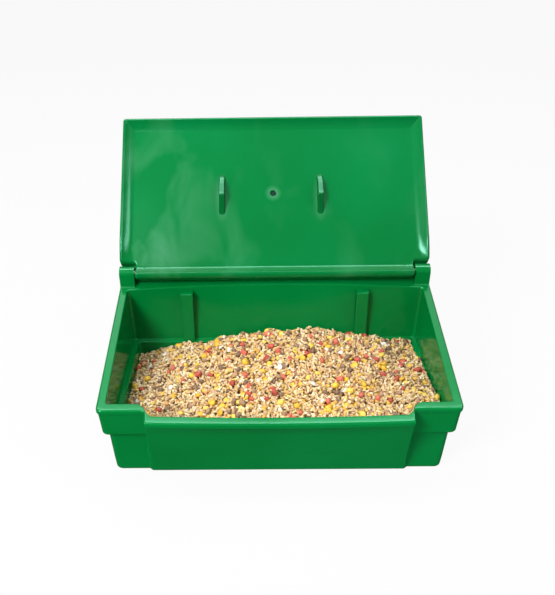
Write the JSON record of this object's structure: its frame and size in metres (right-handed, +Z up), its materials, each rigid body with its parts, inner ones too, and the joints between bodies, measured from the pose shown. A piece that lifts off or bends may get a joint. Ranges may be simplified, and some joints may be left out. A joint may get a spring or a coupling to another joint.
{
  "type": "lidded feed trough",
  "caption": "Moulded green feed trough for small livestock with a sloping rim, a low front spout, a ledge inside and a hollow rain lid that swings on steel pins; filled with mixed feed",
  "frame": {"origin": "centre of the flat underside of the trough, in the plane it stands on", "axes": "+X to the right along the trough, seen from the spout side; +Y back to the hinge side; +Z up"},
  "size_m": [0.4, 0.3638, 0.32],
  "materials": {
    "trough": "semi-gloss",
    "lid": "semi-gloss",
    "pin": "bright",
    "feed": "matte grain"
  },
  "bodies": {
    "trough": {"trough": "trough", "left_hinge_pin": "pin", "right_hinge_pin": "pin", "feed": "feed"},
    "lid": {"lid": "lid"}
  },
  "joints": [
    {"name": "lid_hinge", "type": "hinge", "parent": "trough", "child": "lid", "pos_m": [0, 0.09625, 0.15701], "axis": [1, 0, 0], "range_deg": [0, 144.4]}
  ]
}
